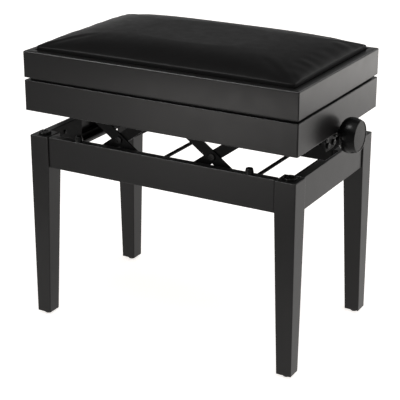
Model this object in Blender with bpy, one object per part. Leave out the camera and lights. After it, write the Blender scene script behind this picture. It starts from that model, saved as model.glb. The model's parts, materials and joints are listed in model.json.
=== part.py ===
"""Height-adjustable piano bench with a padded lid over a sheet-music compartment.

The frame is +X along the bench, +Y to the back, +Z up, in metres.  The origin is on the
floor, under the middle of the seat.  The seat stands on two scissor lifts, one left and one
right of the middle, each with a front and a back pair of arms joined by cross axles.
"""

import math

import bmesh
import bpy
from mathutils import Vector

# Gaps between pieces
GAP = 0.0003                  # between faces that rest on each other
BORE_GAP = 0.0003             # round a pin in its hole
SEAM = 0.0008                 # open joint between a rail and a leg

# Legs and rails
BASE_LENGTH = 0.547           # over the outer faces of the legs, along X
BASE_DEPTH = 0.332            # over the outer faces of the legs, along Y
LEG_TOP = 0.367               # height of the top of legs and rails
LEG_WIDTH = 0.0395            # square upper block of a leg
LEG_FOOT_WIDTH = 0.029        # square foot of a leg
LEG_EDGE = 0.0012             # rounded edges of legs
RAIL_HEIGHT = 0.0595
RAIL_THICKNESS = 0.016
RAIL_RECESS = 0.0025          # rail face behind the leg face
RAIL_EDGE = 0.0008
GLIDE_RADIUS = 0.0072
GLIDE_HEIGHT = 0.0057
PAD_RADIUS = 0.012            # rubber disc on each leg top
PAD_HEIGHT = 0.004
BUFFER_RADIUS = 0.00775       # tapered rubber stop on the long rails
BUFFER_TIP_RADIUS = 0.0066
BUFFER_HEIGHT = 0.010
RUBBER_EDGE = 0.001           # bevel of the upper edges of stops and pads
BUFFER_SPREAD = 0.176         # from the middle of the mechanism to a stop

# Seat box and lid
SEAT_LENGTH = 0.555
SEAT_DEPTH = 0.340
SEAT_BOTTOM = 0.415           # underside of the box at rest
BOX_HEIGHT = 0.058
PANEL_THICKNESS = 0.016
LIP_THICKNESS = 0.008         # inner half of a panel, which carries the lid
REVEAL = 0.005                # open line between box and lid
LID_HEIGHT = 0.050
LID_BORDER = 0.015            # width of the wooden border round the cushion
LID_ROUNDING = 0.0025         # rounded upper outer edge
BOARD_THICKNESS = 0.012       # board under the cushion
BOARD_RECESS = 0.015          # underside of that board above the lid's lower edge
FLOOR_THICKNESS = 0.005       # floor of the compartment
PANEL_EDGE = 0.0006

# Cushion
CUSHION_SIDE = 0.009          # straight side above the lid's border
CUSHION_CROWN = 0.022         # rise of the crown above that side
CUSHION_CORNER = 0.010        # plan radius of its corners
CUSHION_ROUNDNESS = 2.83      # how full the crown is
CUSHION_EDGE = 0.002          # rounding between side and crown
CUSHION_RINGS = (0.998, 0.985, 0.96, 0.92, 0.86, 0.78, 0.66, 0.52, 0.36, 0.18)

# Scissor lifts
LIFT_SHIFT = 0.0055           # the whole mechanism stands this far right of the middle
LIFT_SPREAD = 0.0962          # from the middle of the mechanism to each lift's centre
LIFT_HEIGHT = 0.3793          # centre pivots at rest
ARM_REACH = 0.0723            # from the centre pivot to an end axle
ARM_WIDTH = 0.020
ARM_THICKNESS = 0.003
ARM_ANGLE = math.radians(36)  # slope of the arms at rest
ARM_LOWEST = math.radians(19.2)
ARM_HIGHEST = math.radians(64)
ARM_SPACING = 0.0005          # between the two arms of a pair
ARM_FACE = 0.1425             # outer face of the outer arms, from the middle
AXLE_RADIUS = 0.0035
AXLE_OVERHANG = 0.0018        # end of an axle past the outer arm
AXLE_EDGE = 0.0006
SLOT_SPARE = 0.001            # slot past the axle at each end of its travel
BOLT_RADIUS = 0.003
BOLT_HEAD_RADIUS = 0.0065
BOLT_HEAD_HEIGHT = 0.0022
BOLT_NUT_HEIGHT = 0.003
BOLT_EDGE = 0.0008
BOLT_NUT_SHARE = 0.85         # nut radius over the head's

# Steel profiles
STEEL = 0.002                 # wall of channels and angles
TRACK_DROP = 0.0025           # base channel below the rail
TRACK_HEIGHT = 0.0455
TRACK_FLANGE = 0.044
GUIDE_DROP = 0.0025           # seat guide below the box
CROSS_ANGLE_WALL = 0.003
CROSS_ANGLE_HEIGHT = 0.045
CROSS_ANGLE_FOOT = 0.016

# Spindle, knobs and nut
SPINDLE_RADIUS = 0.005
NOTCH_RADIUS = 0.0065         # hole for the spindle in a side panel
SPINDLE_DROP = 0.0108         # spindle below the upper axles
KNOB_STANDOFF = 0.0015        # knob clear of the box
KNOB_LENGTH = 0.0385
KNOB_RADIUS = 0.032
KNOB_FACE_RADIUS = 0.0298
KNOB_NECK_RADIUS = 0.0115
KNOB_NECK_LENGTH = 0.003
KNOB_SHOULDER = 0.58          # share of the length at which the knob is widest
KNOB_RIM = 0.001              # bevel of the rim round the face
KNOB_DISH = 0.0007            # face below its rim
BRACKET_WIDTH = 0.058
BRACKET_FOOT_WIDTH = 0.036
BRACKET_DROP = 0.0335         # bracket below the spindle
BRACKET_WALL = 0.0029
RECESS_GAP = 0.001            # round the bracket in the recess it dips into
RECESS_DEPTH = 0.0345         # of that recess below the rail top
RECESS_INWARD = 0.024         # from the bracket's inner face, through the steel angle
BEARING_RADIUS = 0.009
BEARING_LENGTH = 0.004
SCREW_RADIUS = 0.0056
SCREW_HEIGHT = 0.003
SCREW_EDGE = 0.001
SCREW_PLACES = ((0.012, 0.0225), (0.0205, 0.0095))  # sideways and below the spindle
NUT_LENGTH = 0.020
NUT_WIDTH = 0.020
NUT_BELOW = 0.009             # nut below the spindle's middle
LINK_WIDTH = 0.012            # strap that ties both lifts together
LINK_THICKNESS = 0.0025
HOOK_WIDTH = 0.0108           # block at the strap's end, on the left lift's axle
HOOK_GAP = 0.0025             # that block above the spindle
LINK_ABOVE = 0.0052           # underside of the strap above the axle's middle

# Lid hinge
HINGE_LENGTH = 0.480
HINGE_KNUCKLES = 16
KNUCKLE_RADIUS = 0.0022
HINGE_LEAF = 0.001
KNUCKLE_NECK = 0.0006         # leaf clear of the other leaf's knuckles
KNUCKLE_SIDES = 12

# Facets of round pieces
SIDES = 20
AXLE_SIDES = 14
BOLT_SIDES = 16
SCREW_SIDES = 12
KNOB_SIDES = 36

# Finishes: colour, roughness and, for metal, how metallic it is
WOOD = ((0.030, 0.029, 0.030), 0.45)
BOARD = ((0.020, 0.020, 0.020), 0.6)
PAINTED_STEEL = ((0.012, 0.012, 0.012), 0.5, 0.6)
BARE_STEEL = ((0.10, 0.10, 0.10), 0.35, 0.8)
RUBBER = ((0.010, 0.010, 0.010), 0.7)
PLASTIC = ((0.010, 0.010, 0.011), 0.4)
COVER = ((0.012, 0.012, 0.013), 0.4)

# Places worked out from the sizes above
RAIL_BOTTOM = LEG_TOP - RAIL_HEIGHT
FOOT_HEIGHT = GLIDE_HEIGHT + GAP
BOX_TOP = SEAT_BOTTOM + BOX_HEIGHT
LID_BOTTOM = BOX_TOP + REVEAL
LID_TOP = LID_BOTTOM + LID_HEIGHT
RAIL_OUTER_X = BASE_LENGTH / 2 - RAIL_RECESS
RAIL_OUTER_Y = BASE_DEPTH / 2 - RAIL_RECESS
RAIL_INNER_X = RAIL_OUTER_X - RAIL_THICKNESS
RAIL_INNER_Y = RAIL_OUTER_Y - RAIL_THICKNESS
PANEL_INNER_X = SEAT_LENGTH / 2 - PANEL_THICKNESS
PANEL_INNER_Y = SEAT_DEPTH / 2 - PANEL_THICKNESS
ARM_RUN = ARM_REACH * math.cos(ARM_ANGLE)
ARM_RISE = ARM_REACH * math.sin(ARM_ANGLE)
AXLE_LOW = LIFT_HEIGHT - ARM_RISE
AXLE_HIGH = LIFT_HEIGHT + ARM_RISE
RUN_SHORT = 2 * ARM_REACH * math.cos(ARM_HIGHEST)
RUN_LONG = 2 * ARM_REACH * math.cos(ARM_LOWEST)
INNER_ARM_FACE = ARM_FACE - ARM_THICKNESS - ARM_SPACING
WEB_OUTER_Y = INNER_ARM_FACE - ARM_THICKNESS - ARM_SPACING
WEB_INNER_Y = WEB_OUTER_Y - STEEL
GUIDE_TOP = AXLE_HIGH + ARM_WIDTH / 2 + STEEL + 0.0012
FLOOR_BOTTOM = GUIDE_TOP + GAP
SPINDLE_HEIGHT = AXLE_HIGH - SPINDLE_DROP
HINGE_Y = SEAT_DEPTH / 2 - KNUCKLE_RADIUS - GAP
HINGE_Z = BOX_TOP + REVEAL / 2
LIFTS = (("left", LIFT_SHIFT - LIFT_SPREAD), ("right", LIFT_SHIFT + LIFT_SPREAD))
ENDS = (("left", -1), ("right", 1))
FACES = (("front", -1), ("back", 1))


def clear_scene():
    """Remove everything that is in the scene."""
    for item in list(bpy.data.objects):
        bpy.data.objects.remove(item, do_unlink=True)


def make_material(name, colour, roughness, metallic=0.0):
    """Return a new Principled material."""
    material = bpy.data.materials.new(name)
    material.use_nodes = True
    shader = material.node_tree.nodes["Principled BSDF"]
    shader.inputs["Base Color"].default_value = (*colour, 1.0)
    shader.inputs["Roughness"].default_value = roughness
    shader.inputs["Metallic"].default_value = metallic
    material.diffuse_color = (*colour, 1.0)
    return material


def make_pivot(name, place):
    """Return an empty at a joint, which carries the pieces that turn on it."""
    pivot = bpy.data.objects.new(name, None)
    pivot.location = place
    pivot.empty_display_size = 0.02
    bpy.context.collection.objects.link(pivot)
    return pivot


def finish_mesh(name, shape, place, parent, finish):
    """Turn a bmesh into a linked object at a world place, under its parent."""
    bmesh.ops.recalc_face_normals(shape, faces=shape.faces)
    mesh = bpy.data.meshes.new(name)
    shape.to_mesh(mesh)
    shape.free()
    item = bpy.data.objects.new(name, mesh)
    bpy.context.collection.objects.link(item)
    item.location = Vector(place)
    if parent:
        item.parent = parent
        item.location = Vector(place) - parent.location
    if finish:
        mesh.materials.append(make_material(name, *finish))
        mesh.shade_smooth()
        mesh.set_sharp_from_angle(angle=math.radians(35))
    return item


def add_bevel(item, width, segments=2):
    """Round the sharp edges of an object."""
    bevel = item.modifiers.new("Rounded edges", "BEVEL")
    bevel.width = width
    bevel.segments = segments
    bevel.limit_method = "ANGLE"
    bevel.angle_limit = math.radians(40)
    bevel.harden_normals = False


def apply_boolean(item, other, operation):
    """Cut or join a helper object into an object and remove the helper."""
    other.hide_render = True
    other.display_type = "WIRE"
    boolean = item.modifiers.new(operation.title(), "BOOLEAN")
    boolean.operation = operation
    boolean.solver = "EXACT"
    boolean.object = other
    bpy.context.view_layer.update()
    depsgraph = bpy.context.evaluated_depsgraph_get()
    mesh = bpy.data.meshes.new_from_object(item.evaluated_get(depsgraph))
    item.modifiers.clear()
    old = item.data
    item.data = mesh
    mesh.name = old.name
    bpy.data.meshes.remove(old)
    bpy.data.objects.remove(other, do_unlink=True)


def cut(item, cutter):
    """Take a helper's solid away from an object."""
    apply_boolean(item, cutter, "DIFFERENCE")


def join(item, addition):
    """Add a helper's solid to an object."""
    apply_boolean(item, addition, "UNION")


def prism(outline, start, end, axis):
    """Return a bmesh of an outline swept from start to end along an axis.

    The outline's two coordinates are the other two axes in X, Y, Z order.
    """
    order = {"X": (1, 2, 0), "Y": (0, 2, 1), "Z": (0, 1, 2)}[axis]
    shape = bmesh.new()
    rings = []
    for level in (start, end):
        ring = []
        for first, second in outline:
            point = [0.0, 0.0, 0.0]
            point[order[0]] = first
            point[order[1]] = second
            point[order[2]] = level
            ring.append(shape.verts.new(point))
        rings.append(ring)
    count = len(outline)
    for index in range(count):
        following = (index + 1) % count
        first, second = rings
        shape.faces.new((first[index], first[following], second[following], second[index]))
    shape.faces.new(rings[0])
    shape.faces.new(rings[1])
    return shape


def block(name, low, high, parent=None, finish=None):
    """Return a box between two world corners, with its origin at its middle or parent."""
    centre = (Vector(low) + Vector(high)) / 2
    half = (Vector(high) - Vector(low)) / 2
    outline = [(-half.x, -half.y), (half.x, -half.y), (half.x, half.y), (-half.x, half.y)]
    return finish_mesh(name, prism(outline, -half.z, half.z, "Z"), centre, parent, finish)


def lathe(profile, sides):
    """Return a closed bmesh turned about X from (distance, radius) points.

    The first and last points are the middles of the end faces' rims.
    """
    shape = bmesh.new()
    rings = []
    for distance, radius in profile:
        ring = []
        for step in range(sides):
            angle = 2 * math.pi * step / sides
            point = (distance, radius * math.cos(angle), radius * math.sin(angle))
            ring.append(shape.verts.new(point))
        rings.append(ring)
    for near, far in zip(rings, rings[1:]):
        for step in range(sides):
            after = (step + 1) % sides
            shape.faces.new((near[step], near[after], far[after], far[step]))
    shape.faces.new(rings[0])
    shape.faces.new(rings[-1])
    return shape


def turned(name, profile, direction, place, parent=None, finish=None, sides=SIDES):
    """Return a turned piece whose profile runs from a place along a direction."""
    shape = lathe(profile, sides)
    turn = Vector((1, 0, 0)).rotation_difference(Vector(direction)).to_matrix().to_4x4()
    bmesh.ops.transform(shape, matrix=turn, verts=shape.verts)
    return finish_mesh(name, shape, place, parent, finish)


def rod(name, radius, length, direction, place, parent=None, finish=None, sides=SIDES):
    """Return a plain round rod that starts at a place."""
    return turned(name, [(0, radius), (length, radius)], direction, place, parent, finish, sides)


def stadium(half_length, radius, sides=8):
    """Return the outline of a bar with round ends, centred on the origin."""
    points = []
    for centre, first in ((half_length, -math.pi / 2), (-half_length, math.pi / 2)):
        for step in range(sides + 1):
            angle = first + math.pi * step / sides
            points.append((centre + radius * math.cos(angle), radius * math.sin(angle)))
    return points


def slot_cutter(centre_x, half_travel, radius, height, side):
    """Return a cutter for a slot along X through the web on one side."""
    near = side * (WEB_INNER_Y - STEEL)
    far = side * (WEB_OUTER_Y + ARM_SPACING)
    shape = prism(stadium(half_travel, radius), near, far, "Y")
    return finish_mesh("slot cutter", shape, (centre_x, 0, height), None, None)


def build_leg(end, end_sign, face, face_sign):
    """Build a leg with plumb outer faces and tapered inner faces, its glide and its pad."""
    shape = bmesh.new()
    rings = []
    levels = ((FOOT_HEIGHT, LEG_FOOT_WIDTH), (RAIL_BOTTOM, LEG_WIDTH), (LEG_TOP, LEG_WIDTH))
    for height, width in levels:
        inner_x = -end_sign * width
        inner_y = -face_sign * width
        corners = ((0, 0), (inner_x, 0), (inner_x, inner_y), (0, inner_y))
        rings.append([shape.verts.new((x, y, height)) for x, y in corners])
    for lower, upper in zip(rings, rings[1:]):
        for index in range(4):
            after = (index + 1) % 4
            shape.faces.new((lower[index], lower[after], upper[after], upper[index]))
    shape.faces.new(rings[0])
    shape.faces.new(rings[-1])
    corner = Vector((end_sign * BASE_LENGTH / 2, face_sign * BASE_DEPTH / 2, 0))
    leg = finish_mesh(f"leg_{face}_{end}", shape, corner, None, WOOD)
    add_bevel(leg, LEG_EDGE)

    inward = Vector((-end_sign, -face_sign, 0))
    foot_centre = corner + inward * LEG_FOOT_WIDTH / 2
    edge = GLIDE_RADIUS / 6
    glide_profile = [(0, GLIDE_RADIUS - edge), (edge, GLIDE_RADIUS), (GLIDE_HEIGHT, GLIDE_RADIUS)]
    turned(f"glide_{face}_{end}", glide_profile, (0, 0, 1), foot_centre, None, PLASTIC)

    top_centre = corner + inward * LEG_WIDTH / 2 + Vector((0, 0, LEG_TOP + GAP))
    pad_profile = [(0, PAD_RADIUS), (PAD_HEIGHT - RUBBER_EDGE, PAD_RADIUS)]
    pad_profile.append((PAD_HEIGHT, PAD_RADIUS - RUBBER_EDGE))
    turned(f"pad_{face}_{end}", pad_profile, (0, 0, 1), top_centre, None, RUBBER)


def build_long_rail(face, face_sign):
    """Build the front or back rail with its two tapered rubber stops."""
    reach = BASE_LENGTH / 2 - LEG_WIDTH - SEAM
    near, far = sorted((face_sign * RAIL_INNER_Y, face_sign * RAIL_OUTER_Y))
    rail = block(f"rail_{face}", (-reach, near, RAIL_BOTTOM), (reach, far, LEG_TOP), None, WOOD)
    add_bevel(rail, RAIL_EDGE)
    middle = face_sign * (RAIL_INNER_Y + RAIL_OUTER_Y) / 2
    profile = [(0, BUFFER_RADIUS), (BUFFER_HEIGHT - RUBBER_EDGE, BUFFER_TIP_RADIUS)]
    profile.append((BUFFER_HEIGHT, BUFFER_TIP_RADIUS - RUBBER_EDGE))
    for end, end_sign in ENDS:
        place = (LIFT_SHIFT + end_sign * BUFFER_SPREAD, middle, LEG_TOP + GAP)
        turned(f"stop_{face}_{end}", profile, (0, 0, 1), place, None, RUBBER)


def bracket_recess(end_sign):
    """Return a cutter for the recess that the lowered spindle bracket dips into."""
    outer = PANEL_INNER_X + SCREW_HEIGHT + RECESS_GAP
    inner = PANEL_INNER_X - BRACKET_WALL - RECESS_INWARD
    near, far = sorted((end_sign * inner, end_sign * outer))
    half = BRACKET_WIDTH / 2 + RECESS_GAP
    return block("recess cutter", (near, -half, LEG_TOP - RECESS_DEPTH), (far, half, SEAT_BOTTOM))


def build_short_rail(end, end_sign):
    """Build a side rail and the steel angle along its inner face."""
    reach = BASE_DEPTH / 2 - LEG_WIDTH - SEAM
    near, far = sorted((end_sign * RAIL_INNER_X, end_sign * RAIL_OUTER_X))
    rail = block(f"rail_{end}", (near, -reach, RAIL_BOTTOM), (far, reach, LEG_TOP), None, WOOD)
    add_bevel(rail, RAIL_EDGE)
    cut(rail, bracket_recess(end_sign))

    outer = end_sign * (RAIL_INNER_X - GAP)
    wall = end_sign * (RAIL_INNER_X - GAP - CROSS_ANGLE_WALL)
    foot = end_sign * (RAIL_INNER_X - GAP - CROSS_ANGLE_FOOT)
    bottom = LEG_TOP - CROSS_ANGLE_HEIGHT
    step = bottom + CROSS_ANGLE_WALL
    outline = [(outer, bottom), (outer, LEG_TOP), (wall, LEG_TOP)]
    outline += [(wall, step), (foot, step), (foot, bottom)]
    shape = prism(outline, -reach, reach, "Y")
    angle = finish_mesh(f"cross_angle_{end}", shape, (0, 0, 0), None, PAINTED_STEEL)
    cut(angle, bracket_recess(end_sign))


def build_track(face, face_sign):
    """Build the base channel that holds the lower axles behind a long rail."""
    outer = RAIL_INNER_Y - GAP
    bottom = RAIL_BOTTOM - TRACK_DROP
    floor = bottom + STEEL
    outline = [
        (outer, bottom), (outer, bottom + TRACK_FLANGE), (outer - STEEL, bottom + TRACK_FLANGE),
        (outer - STEEL, floor), (WEB_OUTER_Y, floor), (WEB_OUTER_Y, bottom + TRACK_HEIGHT),
        (WEB_INNER_Y, bottom + TRACK_HEIGHT), (WEB_INNER_Y, bottom),
    ]
    outline = [(face_sign * y, z) for y, z in outline]
    reach = BASE_LENGTH / 2 - LEG_WIDTH - SEAM
    shape = prism(outline, -reach, reach, "X")
    track = finish_mesh(f"track_{face}", shape, (0, 0, 0), None, PAINTED_STEEL)
    cut_axle_openings(track, AXLE_LOW, face_sign)


def cut_axle_openings(item, height, face_sign):
    """Cut the round hole and the slot for each lift's two axles at one height."""
    for _, centre in LIFTS:
        fixed = centre - ARM_RUN
        cut(item, slot_cutter(fixed, 0, AXLE_RADIUS + BORE_GAP, height, face_sign))
        middle = fixed + (RUN_SHORT + RUN_LONG) / 2
        half_travel = (RUN_LONG - RUN_SHORT) / 2 + SLOT_SPARE
        cut(item, slot_cutter(middle, half_travel, AXLE_RADIUS + BORE_GAP, height, face_sign))


def arm_blank(name, place, parent, tilt, outer_face, face_sign, finish):
    """Return a flat arm with round ends and an axle hole at each end."""
    near, far = sorted((face_sign * outer_face, face_sign * (outer_face - ARM_THICKNESS)))
    shape = prism(stadium(ARM_REACH, ARM_WIDTH / 2), near, far, "Y")
    arm = finish_mesh(name, shape, place, parent, finish)
    for end_sign in (-1, 1):
        hole = prism(stadium(0, AXLE_RADIUS + BORE_GAP), near - STEEL, far + STEEL, "Y")
        bmesh.ops.translate(hole, vec=(end_sign * ARM_REACH, 0, 0), verts=hole.verts)
        cut(arm, finish_mesh("axle hole", hole, place, None, None))
    arm.rotation_euler = (0, -tilt, 0)
    return arm


def pivot_bolt(place, face_sign):
    """Return the centre bolt of a pair of arms, with its head and its nut."""
    head = BOLT_HEAD_HEIGHT
    nut_near = ARM_THICKNESS * 2 + ARM_SPACING * 2
    nut_radius = BOLT_HEAD_RADIUS * BOLT_NUT_SHARE
    profile = [
        (-head, BOLT_HEAD_RADIUS - BOLT_EDGE), (BOLT_EDGE - head, BOLT_HEAD_RADIUS),
        (ARM_SPACING, BOLT_HEAD_RADIUS), (ARM_SPACING, BOLT_RADIUS), (nut_near, BOLT_RADIUS),
        (nut_near, nut_radius), (nut_near + BOLT_NUT_HEIGHT, nut_radius),
    ]
    start = Vector(place) + Vector((0, face_sign * ARM_FACE, 0))
    return turned("pivot bolt", profile, (0, -face_sign, 0), start, None, None, BOLT_SIDES)


def build_lift(end, centre_x):
    """Build one scissor lift: rising and falling arms, front and back, and four axles."""
    finish = PAINTED_STEEL
    low_pivot = make_pivot(f"pivot_rising_{end}", (centre_x - ARM_RUN, 0, AXLE_LOW))
    mid_pivot = make_pivot(f"pivot_falling_{end}", (centre_x, 0, LIFT_HEIGHT))
    centre = (centre_x, 0, LIFT_HEIGHT)
    for face, face_sign in FACES:
        rising = arm_blank(f"arm_rising_{end}_{face}", centre, low_pivot, ARM_ANGLE,
                           INNER_ARM_FACE, face_sign, finish)
        near, far = sorted((face_sign * INNER_ARM_FACE, face_sign * (INNER_ARM_FACE - ARM_THICKNESS)))
        hole = prism(stadium(0, BOLT_RADIUS + BORE_GAP), near - STEEL, far + STEEL, "Y")
        cut(rising, finish_mesh("bolt hole", hole, centre, None, None))
        falling = arm_blank(f"arm_falling_{end}_{face}", centre, mid_pivot, -ARM_ANGLE,
                            ARM_FACE, face_sign, finish)
        join(falling, pivot_bolt(centre, face_sign))

    length = 2 * (ARM_FACE + AXLE_OVERHANG)
    profile = [(0, AXLE_RADIUS - AXLE_EDGE), (AXLE_EDGE, AXLE_RADIUS)]
    profile += [(length - AXLE_EDGE, AXLE_RADIUS), (length, AXLE_RADIUS - AXLE_EDGE)]
    axles = (
        ("low_fixed", -1, AXLE_LOW, low_pivot), ("high_sliding", 1, AXLE_HIGH, low_pivot),
        ("low_sliding", 1, AXLE_LOW, mid_pivot), ("high_fixed", -1, AXLE_HIGH, mid_pivot),
    )
    for label, side, height, pivot in axles:
        place = (centre_x + side * ARM_RUN, -length / 2, height)
        turned(f"axle_{label}_{end}", profile, (0, 1, 0), place, pivot, finish, AXLE_SIDES)


def panel(name, half_length, outer, sign, along_x, parent):
    """Return a box panel with a lid lip, mitred at both ends."""
    section = [
        (0, SEAT_BOTTOM), (0, BOX_TOP), (PANEL_THICKNESS - LIP_THICKNESS, BOX_TOP),
        (PANEL_THICKNESS - LIP_THICKNESS, LID_BOTTOM - GAP), (PANEL_THICKNESS, LID_BOTTOM - GAP),
        (PANEL_THICKNESS, SEAT_BOTTOM),
    ]
    shape = bmesh.new()
    rings = []
    for end_sign in (-1, 1):
        ring = []
        for depth, height in section:
            along = end_sign * (half_length - depth - GAP / 2)
            across = sign * (outer - depth)
            point = (along, across, height) if along_x else (across, along, height)
            ring.append(shape.verts.new(point))
        rings.append(ring)
    count = len(section)
    for index in range(count):
        after = (index + 1) % count
        first, second = rings
        shape.faces.new((first[index], first[after], second[after], second[index]))
    shape.faces.new(rings[0])
    shape.faces.new(rings[1])
    item = finish_mesh(name, shape, (0, 0, 0), None, WOOD)
    item.parent = parent
    item.location = -parent.location
    add_bevel(item, PANEL_EDGE, 1)
    return item


def build_box(seat_pivot):
    """Build the seat box: four mitred panels, its floor and the two lift guides."""
    for face, face_sign in FACES:
        panel(f"panel_{face}", SEAT_LENGTH / 2, SEAT_DEPTH / 2, face_sign, True, seat_pivot)
    for end, end_sign in ENDS:
        side = panel(f"panel_{end}", SEAT_DEPTH / 2, SEAT_LENGTH / 2, end_sign, False, seat_pivot)
        start = (end_sign * (PANEL_INNER_X - PANEL_THICKNESS), 0, SPINDLE_HEIGHT)
        length = PANEL_THICKNESS * 3
        cut(side, rod("spindle notch", NOTCH_RADIUS, length, (end_sign, 0, 0), start))
    reach_x = PANEL_INNER_X - GAP
    reach_y = PANEL_INNER_Y - GAP
    low = (-reach_x, -reach_y, FLOOR_BOTTOM)
    high = (reach_x, reach_y, FLOOR_BOTTOM + FLOOR_THICKNESS)
    block("compartment_floor", low, high, seat_pivot, BOARD)
    bottom = SEAT_BOTTOM - GUIDE_DROP
    for face, face_sign in FACES:
        outline = [
            (WEB_INNER_Y, bottom), (WEB_INNER_Y, GUIDE_TOP), (reach_y, GUIDE_TOP),
            (reach_y, GUIDE_TOP - STEEL), (WEB_OUTER_Y, GUIDE_TOP - STEEL), (WEB_OUTER_Y, bottom),
        ]
        outline = [(face_sign * y, z) for y, z in outline]
        shape = prism(outline, -reach_x, reach_x, "X")
        guide = finish_mesh(f"guide_{face}", shape, (0, 0, 0), None, PAINTED_STEEL)
        cut_axle_openings(guide, AXLE_HIGH, face_sign)
        guide.parent = seat_pivot
        guide.location = -seat_pivot.location


def build_bracket(end, end_sign, seat_pivot):
    """Build the plate that carries one end of the spindle, with its bearing and screws."""
    top = FLOOR_BOTTOM - GAP
    low = SPINDLE_HEIGHT - BRACKET_DROP
    wide = BRACKET_WIDTH / 2
    slim = BRACKET_FOOT_WIDTH / 2
    outline = [(-wide, top), (-wide, SPINDLE_HEIGHT - BEARING_RADIUS), (-slim, low), (slim, low),
               (wide, SPINDLE_HEIGHT - BEARING_RADIUS), (wide, top)]
    outer = end_sign * (PANEL_INNER_X - GAP)
    inner = end_sign * (PANEL_INNER_X - GAP - BRACKET_WALL)
    near, far = sorted((outer, inner))
    shape = prism(outline, near, far, "X")
    plate = finish_mesh(f"bracket_{end}", shape, (0, 0, 0), None, PAINTED_STEEL)
    start = (inner + end_sign * BRACKET_WALL / 2, 0, SPINDLE_HEIGHT)
    length = BEARING_LENGTH + BRACKET_WALL / 2
    join(plate, rod("bearing", BEARING_RADIUS, length, (-end_sign, 0, 0), start))
    for sideways, below in SCREW_PLACES:
        for side in (-1, 1):
            start = (outer - end_sign * BRACKET_WALL / 2, side * sideways, SPINDLE_HEIGHT - below)
            tall = SCREW_HEIGHT + BRACKET_WALL / 2
            profile = [(0, SCREW_RADIUS), (tall - SCREW_EDGE, SCREW_RADIUS)]
            profile.append((tall, SCREW_RADIUS - SCREW_EDGE))
            head = turned("screw head", profile, (end_sign, 0, 0), start, None, None, SCREW_SIDES)
            join(plate, head)
    start = (inner - end_sign * BEARING_LENGTH * 2, 0, SPINDLE_HEIGHT)
    cut(plate, rod("bore", SPINDLE_RADIUS + BORE_GAP, BEARING_LENGTH * 5, (end_sign, 0, 0), start))
    plate.parent = seat_pivot
    plate.location = -seat_pivot.location


def knob_profile():
    """Return the turned outline of a knob, from its neck to its dished face."""
    points = [(0, KNOB_NECK_RADIUS), (KNOB_NECK_LENGTH, KNOB_NECK_RADIUS)]
    widest = KNOB_LENGTH * KNOB_SHOULDER
    steps = 7
    for step in range(1, steps + 1):
        angle = math.pi / 2 * step / steps
        along = KNOB_NECK_LENGTH + (widest - KNOB_NECK_LENGTH) * (1 - math.cos(angle))
        radius = KNOB_NECK_RADIUS + (KNOB_RADIUS - KNOB_NECK_RADIUS) * math.sin(angle)
        points.append((along, radius))
    steps = 4
    for step in range(1, steps + 1):
        share = step / steps
        along = widest + (KNOB_LENGTH - KNOB_RIM - widest) * share
        points.append((along, KNOB_RADIUS - (KNOB_RADIUS - KNOB_FACE_RADIUS) * share ** 2))
    points.append((KNOB_LENGTH, KNOB_FACE_RADIUS - KNOB_RIM))
    points.append((KNOB_LENGTH, KNOB_FACE_RADIUS - KNOB_RIM * 2))
    points.append((KNOB_LENGTH - KNOB_DISH, KNOB_FACE_RADIUS - KNOB_RIM * 3))
    return points


def build_spindle():
    """Build the spindle under the seat and the knob on each of its ends."""
    pivot = make_pivot("pivot_spindle", (0, 0, SPINDLE_HEIGHT))
    reach = SEAT_LENGTH / 2 + KNOB_STANDOFF
    start = (-(reach - GAP), 0, SPINDLE_HEIGHT)
    rod("spindle", SPINDLE_RADIUS, 2 * (reach - GAP), (1, 0, 0), start, pivot, BARE_STEEL, BOLT_SIDES)
    for end, end_sign in ENDS:
        place = (end_sign * reach, 0, SPINDLE_HEIGHT)
        turned(f"knob_{end}", knob_profile(), (end_sign, 0, 0), place, pivot, PLASTIC, KNOB_SIDES)


def build_nut():
    """Build the spindle nut, with the strap that ties the two lifts' sliding axles."""
    left_x = LIFTS[0][1] + ARM_RUN
    right_x = LIFTS[1][1] + ARM_RUN
    pivot = make_pivot("pivot_nut", (right_x, 0, AXLE_HIGH))
    top = AXLE_HIGH + LINK_ABOVE + LINK_THICKNESS
    half = NUT_LENGTH / 2
    low = (right_x - half, -NUT_WIDTH / 2, SPINDLE_HEIGHT - NUT_BELOW)
    nut = block("spindle_nut", low, (right_x + half, NUT_WIDTH / 2, top), None, BARE_STEEL)
    strap_half = LINK_WIDTH / 2
    low = (left_x - half / 2, -strap_half, top - LINK_THICKNESS)
    join(nut, block("strap", low, (right_x - half / 2, strap_half, top)))
    hook_half = HOOK_WIDTH / 2
    low = (left_x - half, -hook_half, SPINDLE_HEIGHT + SPINDLE_RADIUS + HOOK_GAP)
    join(nut, block("hook", low, (left_x + half, hook_half, top)))
    start = (right_x - NUT_LENGTH, 0, SPINDLE_HEIGHT)
    cut(nut, rod("spindle bore", SPINDLE_RADIUS + BORE_GAP, 2 * NUT_LENGTH, (1, 0, 0), start))
    for place_x in (left_x, right_x):
        start = (place_x, -NUT_WIDTH, AXLE_HIGH)
        cut(nut, rod("axle bore", AXLE_RADIUS + BORE_GAP, 2 * NUT_WIDTH, (0, 1, 0), start))
    world_place = nut.location.copy()
    nut.parent = pivot
    nut.location = world_place - pivot.location


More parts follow.
